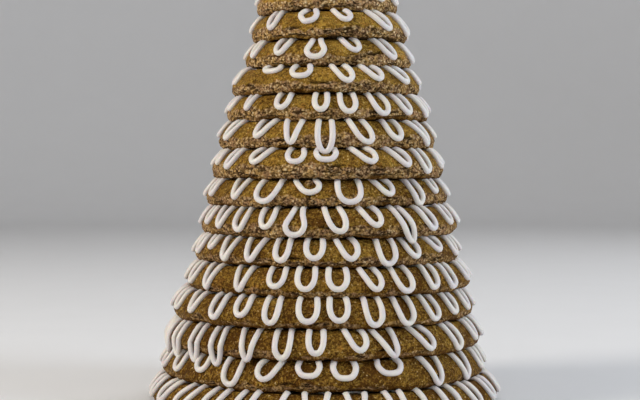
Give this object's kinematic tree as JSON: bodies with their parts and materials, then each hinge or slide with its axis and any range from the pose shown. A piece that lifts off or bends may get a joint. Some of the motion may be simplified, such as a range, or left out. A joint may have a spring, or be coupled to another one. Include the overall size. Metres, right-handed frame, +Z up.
{
  "type": "kransekake ring cake",
  "caption": "Tall hollow cone of stacked baked almond rings, each piped with a zigzag of white royal icing that hangs over its outer shoulder.",
  "frame": {"origin": "under the middle of the cake, on the plane that it stands on", "axes": "+Z up along the stack, -Y is the front, +X to the right as seen from the front"},
  "size_m": [0.211, 0.2124, 0.2908],
  "materials": {
    "crust": "matte baked almond dough, golden brown on the shoulder and crumbly below",
    "royal_icing": "satin dried royal icing"
  },
  "bodies": {
    "root": {"ring_01": "crust", "ring_02": "crust", "ring_03": "crust", "ring_04": "crust", "ring_05": "crust", "ring_06": "crust", "ring_07": "crust", "ring_08": "crust", "ring_09": "crust", "ring_10": "crust", "ring_11": "crust", "ring_12": "crust", "ring_13": "crust", "ring_14": "crust", "ring_15": "crust", "ring_16": "crust", "ring_17": "crust", "ring_18": "crust", "icing_01": "royal_icing", "icing_02": "royal_icing", "icing_03": "royal_icing", "icing_04": "royal_icing", "icing_05": "royal_icing", "icing_06": "royal_icing", "icing_07": "royal_icing", "icing_08": "royal_icing", "icing_09": "royal_icing", "icing_10": "royal_icing", "icing_11": "royal_icing", "icing_12": "royal_icing", "icing_13": "royal_icing", "icing_14": "royal_icing", "icing_15": "royal_icing", "icing_16": "royal_icing", "icing_17": "royal_icing", "icing_18": "royal_icing"}
  },
  "joints": []
}
